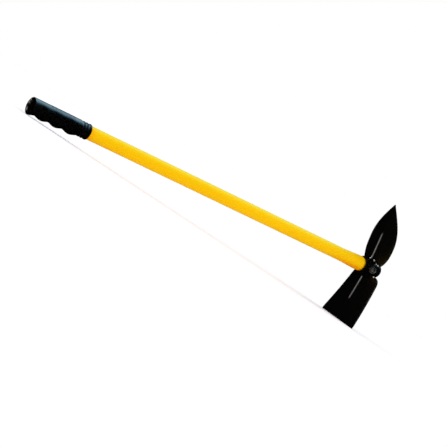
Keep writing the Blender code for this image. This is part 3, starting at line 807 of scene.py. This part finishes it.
def leaf_sharpness(inset, z):
    """1 on the leaf's ground flanks, fading out below its widest place and inside its edge."""
    upper = eased((z - LEAF_WIDEST_AT + GROUND_EDGE_RUN_OUT) / GROUND_EDGE_RUN_OUT)
    return upper * max(1 - inset / GROUND_EDGE_WIDTH, 0)


def shaped(start, end, handles, count):
    """A curve whose handles lie at shares of the way across and along it."""
    spans = (end[0] - start[0], end[1] - start[1])
    points = [(start[0] + a * spans[0], start[1] + b * spans[1]) for a, b in handles]
    return curve(start, *points, end, count)


root_end = (LEAF_ROOT_WIDTH / 2 - LEAF_CORNER, LEAF_ROOT_AT)
side_foot = (LEAF_ROOT_WIDTH / 2, LEAF_ROOT_AT + LEAF_CORNER / 2)
widest = (LEAF_WIDTH / 2, LEAF_WIDEST_AT)
leaf_tip = (LEAF_TIP_WIDTH / 2, LEAF_REACH)
leaf_outline = [root_end]
leaf_outline += shaped(root_end, side_foot, LEAF_CORNER_HANDLES, LEAF_CORNER_POINTS)
leaf_outline += shaped(side_foot, widest, LEAF_SIDE_HANDLES, LEAF_SIDE_POINTS)
leaf_outline += shaped(widest, leaf_tip, LEAF_FLANK_HANDLES, LEAF_FLANK_POINTS)
leaf_marks = (LEAF_CREASE_LINE, LEAF_KNOCKS_AND_GLINTS)
leaf_plate = pressed_plate("leaf_plate", leaf_outline, leaf_middle, leaf_sharpness, *leaf_marks)
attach(leaf_plate, "root")
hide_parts("leaf_blade")

# Hoe blade. Its rounded shoulders run out to a straight cutting edge, where the fold dies out.
HOE_REACH = 100.6 * MM
HOE_EDGE_WIDTH = 98.6 * MM
HOE_SHOULDER_WIDTH = 75.4 * MM
HOE_SHOULDER_AT = 22 * MM
HOE_ROOT_AT = 8.2 * MM
HOE_ROOT_FLAT_WIDTH = 48 * MM
HOE_FOLD_AT_ROOT = math.radians(13.6)
HOE_LEAN = math.radians(1.2)
HOE_CURL = 3.6 * MM
HOE_ROOT_HANDLE = 0.6
HOE_SHOULDER_HANDLE = 0.62
HOE_CURVE_POINTS = 24
# Where the hoe's crease shows its lighter line, a painted highlight as well as rubbed paint.
HOE_CREASE_LINE = (-15 * MM, -62 * MM)
# A bare-steel spot at the hoe's root corner: a painted glint as well as a knock.
HOE_KNOCKS_AND_GLINTS = ((-22.8 * MM, -8.2 * MM, 1.9 * MM),)


def hoe_slope(z):
    """The slope of the hoe's fold, which dies out at the cutting edge."""
    return math.tan(HOE_FOLD_AT_ROOT) * (1 + z / HOE_REACH)


def hoe_middle(y, z):
    """X of the hoe blade's middle surface."""
    lean = -z * math.tan(HOE_LEAN) + HOE_CURL * (z / HOE_REACH) ** 2
    return BLADE_THICKNESS / 2 + folded(y, hoe_slope(z)) - lean


def hoe_sharpness(inset, z):
    """1 on the hoe's straight cutting edge, fading out above it."""
    return max(1 - (HOE_REACH + z) / GROUND_EDGE_WIDTH, 0)


flat = HOE_ROOT_FLAT_WIDTH / 2
shoulder = HOE_SHOULDER_WIDTH / 2
flare = (HOE_EDGE_WIDTH / 2 - shoulder) / (HOE_REACH - HOE_SHOULDER_AT)
handle_drop = HOE_SHOULDER_HANDLE * (HOE_SHOULDER_AT - HOE_ROOT_AT)
root_handle = (flat + HOE_ROOT_HANDLE * (shoulder - flat), -HOE_ROOT_AT)
shoulder_handle = (shoulder - handle_drop * flare, handle_drop - HOE_SHOULDER_AT)
root_end, shoulder_end = (flat, -HOE_ROOT_AT), (shoulder, -HOE_SHOULDER_AT)
hoe_outline = [root_end]
hoe_outline += curve(root_end, root_handle, shoulder_handle, shoulder_end, HOE_CURVE_POINTS)
hoe_outline.append((HOE_EDGE_WIDTH / 2, -HOE_REACH))
hoe_marks = (HOE_CREASE_LINE, HOE_KNOCKS_AND_GLINTS)
hoe_plate = pressed_plate("hoe_plate", hoe_outline, hoe_middle, hoe_sharpness, *hoe_marks)
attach(hoe_plate, "root")
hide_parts("hoe_blade")
bpy.data.objects.remove(socket_seat, do_unlink=True)


# Weld beads. One fillet runs round the socket on each face of each blade, laid by hand in
# overlapping ripples and painted over with the rest of the head.
WELD_LEG = 3.5 * MM
WELD_BULGE = 1.4
WELD_END_SHARE = 0.4
WELD_END_BLUNTNESS = 8
LEAF_WELD_ARC = math.radians(80)
HOE_WELD_ARC = math.radians(104)
WELD_STEPS = 200
SECTION_STEPS = 14
RIPPLE_PITCH = 1.7 * MM
RIPPLE_DEPTH = 0.28 * MM
RIPPLE_BOW = 0.45
RIPPLE_UNEVENNESS = 0.5
RIPPLE_FULLNESS = 0.7
RIPPLE_WANDER_SCALE = 260.0
RIPPLE_SEED = 3.0
BEAD_SHARP_ANGLE = 60
# A bare-steel spot on the leaf's front bead: a painted glint as well as a knock.
BEAD_KNOCKS_AND_GLINTS = ((0.4 * MM, 16.6 * MM, 1.4 * MM),)


def weld_ripples():
    """Sinks a bead between its ripples, which bow along it and are never quite alike."""
    tree, source, identifiers = nodes_tree(
        "weld_ripples",
        corner_radius=SOCKET_RADIUS + FITTING_GAP,
        weld_leg=WELD_LEG,
        ripple_pitch=RIPPLE_PITCH,
        ripple_depth=RIPPLE_DEPTH,
        ripple_bow=RIPPLE_BOW,
        unevenness=RIPPLE_UNEVENNESS,
        paint=black,
    )
    where = put(tree, "GeometryNodeInputPosition").outputs[0]
    parts = parts_of(tree, where)
    radius = off_axis(tree, parts)[1]
    angle = calc(tree, "ARCTAN2", parts["Y"], calc(tree, "ABSOLUTE", parts["Z"]))
    run = calc(tree, "MULTIPLY", angle, source["Corner radius"])
    ripples = calc(tree, "DIVIDE", run, source["Ripple pitch"])
    out = calc(tree, "SUBTRACT", radius, source["Corner radius"])
    out = calc(tree, "DIVIDE", out, source["Weld leg"])
    bow = calc(tree, "POWER", calc(tree, "MULTIPLY_ADD", out, 2.0, -1.0), 2.0)
    ripples = calc(tree, "ADD", ripples, calc(tree, "MULTIPLY", bow, source["Ripple bow"]))
    sockets = {"Vector": where, "W": RIPPLE_SEED, "Scale": RIPPLE_WANDER_SCALE, "Detail": 1.0}
    wander = put(tree, "ShaderNodeTexNoise", sockets, noise_dimensions="4D").outputs[0]
    ripples = calc(tree, "ADD", ripples, calc(tree, "MULTIPLY", wander, source["Unevenness"]))
    crest = calc(tree, "ABSOLUTE", calc(tree, "SINE", calc(tree, "MULTIPLY", ripples, math.pi)))
    sunk = calc(tree, "SUBTRACT", calc(tree, "POWER", crest, RIPPLE_FULLNESS), 1.0)
    sunk = calc(tree, "MULTIPLY", sunk, source["Ripple depth"])
    normal = put(tree, "GeometryNodeInputNormal").outputs[0]
    close_tree(tree, moved(tree, source["Geometry"], normal, sunk), source["Paint"])
    return tree, identifiers


def weld_bead(middle, slope, centre, arc, side):
    """A fillet between the socket and one face of a blade: side is -1 in front, 1 behind."""
    corner_radius = SOCKET_RADIUS + FITTING_GAP
    rings = []
    for i in range(WELD_STEPS + 1):
        share = 2 * i / WELD_STEPS - 1
        angle = centre + share * arc / 2
        leg = WELD_LEG * max(math.sqrt(1 - share**WELD_END_BLUNTNESS), WELD_END_SHARE)
        section = [(0, 0)]
        for turn in quarter(SECTION_STEPS):
            out = leg * math.sin(turn) ** (2 / WELD_BULGE)
            up = leg * max(math.cos(turn), 0) ** (2 / WELD_BULGE)
            section.append((out, up))
        ring = []
        for out, up in section:
            y = (corner_radius + out) * math.cos(angle)
            z = (corner_radius + out) * math.sin(angle)
            face = BLADE_THICKNESS / 2 * math.hypot(1, slope(z)) + FITTING_GAP
            ring.append((middle(y, z) + side * (face + up), y, z))
        rings.append(ring)
    return skinned(rings)


ripples = weld_ripples()
leaf_run = (leaf_middle, leaf_slope, math.pi / 2, LEAF_WELD_ARC)
hoe_run = (hoe_middle, hoe_slope, -math.pi / 2, HOE_WELD_ARC)
for blade, run in (("leaf", leaf_run), ("hoe", hoe_run)):
    for face, side in (("front", -1), ("back", 1)):
        shape = weld_bead(*run, side)
        # Spots on the front beads that are painted glints as well as knocks.
        knock_glint = shape.verts.layers.float.new("knocks_and_glints")
        for point in shape.verts:
            point[knock_glint] = spots_at(point.co.y, point.co.z, BEAD_KNOCKS_AND_GLINTS) if side < 0 else 0
        bead = new_piece(f"{blade}_bead_{face}", shape, black)
        add_nodes(bead, *ripples)
        settle(bead, sharp=BEAD_SHARP_ANGLE)
        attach(bead, "root")
        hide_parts(f"{blade}_weld_{face}")


# Cross bolt. An M6 hexagon bolt, its nut and two plain washers pin the socket and the tube
# together. They are steel, zinc plated and blackened, and go on after the head is painted.
BOLT_RADIUS = 3 * MM
BOLT_HOLE_RADIUS = 3.3 * MM
BOLT_HEAD_HEIGHT = 4 * MM
HEX_ACROSS_FLATS = 10 * MM
HEX_CHAMFER = math.radians(30)
HEX_SIDES = 96
HEX_FACE_SHARE = 0.97
HEX_SHARP_ANGLE = 25
NUT_HEIGHT = 5 * MM
BOLT_PAST_NUT = 2 * MM
BOLT_TIP_CHAMFER = 0.75 * MM
BOLT_SIDES = 48
THREAD_PITCH = 1 * MM
THREAD_DEPTH = 0.55 * MM
THREAD_SINK = 0.52
THREAD_FULLNESS = 0.5
THREAD_STEPS = 40
THREAD_SIDES = 4
WASHER_RADIUS = 6 * MM
WASHER_THICKNESS = 1.6 * MM
WASHER_ROUNDING = 0.3 * MM
WASHER_ROUNDING_STEPS = 5
WASHER_SIDES = 64
WASHER_SEAT = SOCKET_RADIUS + FITTING_GAP
HEX_SEAT = WASHER_SEAT + WASHER_THICKNESS + FITTING_GAP
ZINC = (0.03, 0.03, 0.034, 1)
ZINC_WORN = (0.2, 0.2, 0.205, 1)


def blackened_zinc():
    """Zinc plate under black passivation: cloudy, with fine marks from the spanner."""
    finish, tree, shader, place = new_finish("blackened_zinc", Metallic=0.6)
    clouds = noise(tree, place, scale=420, detail=3)
    colour = mixed(tree, between(tree, clouds, 0.38, 0.7), ZINC, ZINC_WORN)
    tree.links.new(colour, shader.inputs["Base Color"])
    dull = between(tree, clouds, 0.3, 0.7, to_low=0.28, to_high=0.45)
    tree.links.new(dull, shader.inputs["Roughness"])
    marks = noise(tree, place, scale=1400, detail=2, stretch=(1, 0.1, 1))
    raised(tree, shader, (marks, 0.02 * MM, 0.4))
    return finish


def hexagon(turn):
    """A hexagon's radius at a turn about its axis, with a corner at no turn."""
    apart = turn % (math.pi / 3) - math.pi / 6
    return HEX_ACROSS_FLATS / 2 / math.cos(apart)


def hex_blank(height, chamfered_below, bore):
    """A hexagon about X, its corners cut by a cone on top, or on top and below."""
    turns = [2 * math.pi * i / HEX_SIDES for i in range(HEX_SIDES)]
    face = HEX_ACROSS_FLATS / 2 * HEX_FACE_SHARE

    def ring(radius, x):
        return [(x(t), radius(t) * math.cos(t), radius(t) * math.sin(t)) for t in turns]

    def drop(turn):
        return (hexagon(turn) - face) * math.tan(HEX_CHAMFER)

    rings = [ring(lambda t: bore, lambda t: 0)]
    if chamfered_below:
        rings += [ring(lambda t: face, lambda t: 0), ring(hexagon, drop)]
    else:
        rings.append(ring(hexagon, lambda t: 0))
    rings += [ring(hexagon, lambda t: height - drop(t)), ring(lambda t: face, lambda t: height)]
    rings.append(ring(lambda t: bore, lambda t: height))
    return skinned(rings, closed=bore > 0)


def bolt_side(towards, distance):
    """Turns a piece's X out along the bolt, towards +Y or -Y, at a distance from the handle."""
    move = Matrix.Translation((BLADE_THICKNESS / 2, towards * distance, 0))
    return move @ Matrix.Rotation(towards * math.pi / 2, 4, "Z")


def bolt_thread(zinc):
    """Winds a thread along the end of the bolt's shank."""
    turns = (BOLT_PAST_NUT - BOLT_TIP_CHAMFER / 2) / THREAD_PITCH + 1
    tree, source, identifiers = nodes_tree(
        "bolt_thread",
        thread_from=2 * HEX_SEAT + NUT_HEIGHT - THREAD_PITCH,
        thread_turns=turns,
        thread_length=turns * THREAD_PITCH,
        thread_radius=BOLT_RADIUS - THREAD_DEPTH * THREAD_SINK,
        thread_size=THREAD_DEPTH * THREAD_FULLNESS,
        zinc=zinc,
    )
    sockets = {"Resolution": THREAD_STEPS, "Rotations": source["Thread turns"]}
    sockets.update({"Start Radius": source["Thread radius"], "End Radius": source["Thread radius"]})
    sockets["Height"] = source["Thread length"]
    winding = put(tree, "GeometryNodeCurveSpiral", sockets).outputs[0]
    thread = swept(tree, winding, THREAD_SIDES, source["Thread size"])
    start = put(tree, "ShaderNodeCombineXYZ", {"X": source["Thread from"]}).outputs[0]
    sockets = {"Geometry": thread, "Rotation": (0, math.pi / 2, 0), "Translation": start}
    thread = put(tree, "GeometryNodeTransform", sockets).outputs[0]
    close_tree(tree, joined(tree, source["Geometry"], thread), source["Zinc"])
    return tree, identifiers


zinc = blackened_zinc()
length = 2 * HEX_SEAT + NUT_HEIGHT + BOLT_PAST_NUT
root_radius = BOLT_RADIUS - THREAD_DEPTH
thread_start = length - BOLT_PAST_NUT - THREAD_PITCH
shank_profile = [(-BOLT_HEAD_HEIGHT / 2, 0), (-BOLT_HEAD_HEIGHT / 2, BOLT_RADIUS)]
shank_profile += [(thread_start, BOLT_RADIUS), (thread_start, root_radius)]
shank_profile += [(length - BOLT_TIP_CHAMFER / 2, root_radius)]
shank_profile += [(length, BOLT_RADIUS - BOLT_TIP_CHAMFER), (length, 0)]
bolt = turned(shank_profile, BOLT_SIDES)
head_mesh = bpy.data.meshes.new("bolt_head")
head = hex_blank(BOLT_HEAD_HEIGHT, False, 0)
head.transform(Matrix.Rotation(math.pi, 4, "Z"))
head.to_mesh(head_mesh)
head.free()
bolt.from_mesh(head_mesh)
hex_bolt = new_piece("hex_bolt", bolt, zinc)
add_nodes(hex_bolt, *bolt_thread(zinc))
settle(hex_bolt, bolt_side(1, -HEX_SEAT), sharp=HEX_SHARP_ANGLE)
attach(hex_bolt, "root")
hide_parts("retaining_bolt")

hex_nut = new_piece("hex_nut", hex_blank(NUT_HEIGHT, True, BOLT_HOLE_RADIUS), zinc)
settle(hex_nut, bolt_side(1, HEX_SEAT), sharp=HEX_SHARP_ANGLE)
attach(hex_nut, "root")
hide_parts("retaining_nut")

rounded = []
for turn in quarter(WASHER_ROUNDING_STEPS):
    reach = WASHER_RADIUS - WASHER_ROUNDING * (1 - math.sin(turn))
    rounded.append((WASHER_ROUNDING * (1 - math.cos(turn)), reach))
washer_profile = [(0, BOLT_HOLE_RADIUS)] + rounded
washer_profile += [(WASHER_THICKNESS - x, reach) for x, reach in reversed(rounded[:-1])]
washer_profile.append((WASHER_THICKNESS, BOLT_HOLE_RADIUS))
for node, towards in (("bolt_washer", -1), ("nut_washer", 1)):
    shape = turned(washer_profile, WASHER_SIDES, closed=True)
    washer = new_piece(f"plain_{node}", shape, zinc)
    settle(washer, bolt_side(towards, WASHER_SEAT))
    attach(washer, "root")
    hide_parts(node)


# Camera. It looks at the hoe's side from beyond the butt and a little above, rolled so that the
# handle runs down to the right, as the photograph shows it.
CAMERA_AZIMUTH = math.radians(-33.519)
CAMERA_ELEVATION = math.radians(4.701)
CAMERA_ROLL = math.radians(28.396)
CAMERA_TARGET = Vector((-297.774, 0, -37.508)) * MM
CAMERA_DISTANCE = 3000 * MM
IMAGE_WIDTH = 447
FOCAL_PIXELS = 1872.063
SENSOR_WIDTH = 36
CAMERA_SEES = 20

flat_back = Vector((math.sin(CAMERA_AZIMUTH), -math.cos(CAMERA_AZIMUTH), 0))
back = flat_back * math.cos(CAMERA_ELEVATION) + Vector((0, 0, math.sin(CAMERA_ELEVATION)))
level = Vector((0, 0, 1)).cross(back).normalized()
upright = back.cross(level)
right = math.cos(CAMERA_ROLL) * level + math.sin(CAMERA_ROLL) * upright
top = math.cos(CAMERA_ROLL) * upright - math.sin(CAMERA_ROLL) * level
camera = bpy.data.objects.new("camera", bpy.data.cameras.new("camera"))
bpy.context.scene.collection.objects.link(camera)
bpy.context.scene.camera = camera
camera_place = Matrix((right, top, back)).transposed().to_4x4()
camera_place.translation = CAMERA_TARGET + back * CAMERA_DISTANCE
camera.matrix_world = hoe_axes @ camera_place
camera.data.sensor_width = SENSOR_WIDTH
camera.data.lens = SENSOR_WIDTH * FOCAL_PIXELS / IMAGE_WIDTH
camera.data.clip_end = CAMERA_SEES


# Light. The studio is all in the world: soft warm light from all round, a cool panel above and
# behind, and a small white patch of backdrop. Reflections show only the panel and the patch of it,
# which keeps the blacks deeper than a real studio would.
SOFT_COLOUR = (1, 0.96, 0.86, 1)
PANEL_COLOUR = (0.53, 0.87, 1, 1)
PANEL_RIM_COLOUR = (0.08, 0.5, 1, 1)
PANEL_RADIANCE = 1.8
PANEL_TOWARDS = Vector((0.45, 0.3, 0.84))
PANEL_RADII = (math.radians(37), math.radians(8))
BACKDROP_TOWARDS = Vector((0.37, 0.93, -0.07))
BACKDROP_RADII = (math.radians(16), math.radians(6))
WHITE = (1, 1, 1, 1)

bpy.context.scene.view_settings.view_transform = "Standard"
world = bpy.data.worlds.new("studio")
bpy.context.scene.world = world
world.use_nodes = True
world.cycles.sampling_method = "NONE"
studio = world.node_tree
studio.nodes.clear()
direction = put(studio, "ShaderNodeTexCoord").outputs["Generated"]


def disc(towards, radii):
    """1 in a round patch of the studio, fading to 0 from the inner radius to the outer one."""
    sockets = {0: direction, 1: towards.normalized()}
    facing = put(studio, "ShaderNodeVectorMath", sockets, operation="DOT_PRODUCT").outputs["Value"]
    return between(studio, facing, *(math.cos(radius) for radius in radii))


def glow(colour, strength):
    """Light of one colour from a part of the studio."""
    return put(studio, "ShaderNodeBackground", {"Color": colour, "Strength": strength}).outputs[0]


def ray_kinds(tree):
    """1 for a ray straight from the camera, and 1 for a ray off or through a surface."""
    rays = put(tree, "ShaderNodeLightPath").outputs
    mirrored = calc(tree, "MAXIMUM", rays["Is Glossy Ray"], rays["Is Transmission Ray"])
    return rays["Is Camera Ray"], mirrored


straight, mirrored = ray_kinds(studio)
behind = hoe_axes.to_3x3() @ BACKDROP_TOWARDS
backdrop = calc(studio, "MULTIPLY", mirrored, disc(behind, BACKDROP_RADII))
soft = glow(SOFT_COLOUR, calc(studio, "SUBTRACT", 1.0, mirrored))
panel_shape = disc(PANEL_TOWARDS, PANEL_RADII)
panel_colour = mixed(studio, panel_shape, PANEL_RIM_COLOUR, PANEL_COLOUR)
panel = glow(panel_colour, calc(studio, "MULTIPLY", panel_shape, PANEL_RADIANCE))
lit = put(studio, "ShaderNodeAddShader", {0: soft, 1: panel}).outputs[0]
white = glow(WHITE, 1.0)
shown = calc(studio, "MAXIMUM", straight, backdrop)
whole = put(studio, "ShaderNodeMixShader", {0: shown, 1: lit, 2: white})
put(studio, "ShaderNodeOutputWorld", {"Surface": whole.outputs[0]})


# Floor. A plain pale board that the hoe rests on. It shows white to the camera all the way to the
# horizon and still keeps the hoe's shadow.
FLOOR_SIZE = 12
FLOOR_COLOUR = (0.92, 0.77, 0.68, 1)
FLOOR_LIFT = (0, 0.1, 0.24, 1)
FLOOR_DULLNESS = 0.9

board = bmesh.new()
bmesh.ops.create_grid(board, x_segments=1, y_segments=1, size=FLOOR_SIZE / 2)
pale = bpy.data.materials.new("pale_board")
pale.use_nodes = True
board_tree = pale.node_tree
board_shader = board_tree.nodes["Principled BSDF"]
board_shader.inputs["Base Color"].default_value = FLOOR_COLOUR
board_shader.inputs["Roughness"].default_value = FLOOR_DULLNESS
board_shader.inputs["Specular IOR Level"].default_value = 0.0
seen = calc(board_tree, "MAXIMUM", *ray_kinds(board_tree))
board_tree.links.new(seen, board_shader.inputs["Emission Strength"])
board_shader.inputs["Emission Color"].default_value = FLOOR_LIFT
floor = new_piece("floor", board, pale)
floor.visible_glossy = False


bpy.context.view_layer.update()
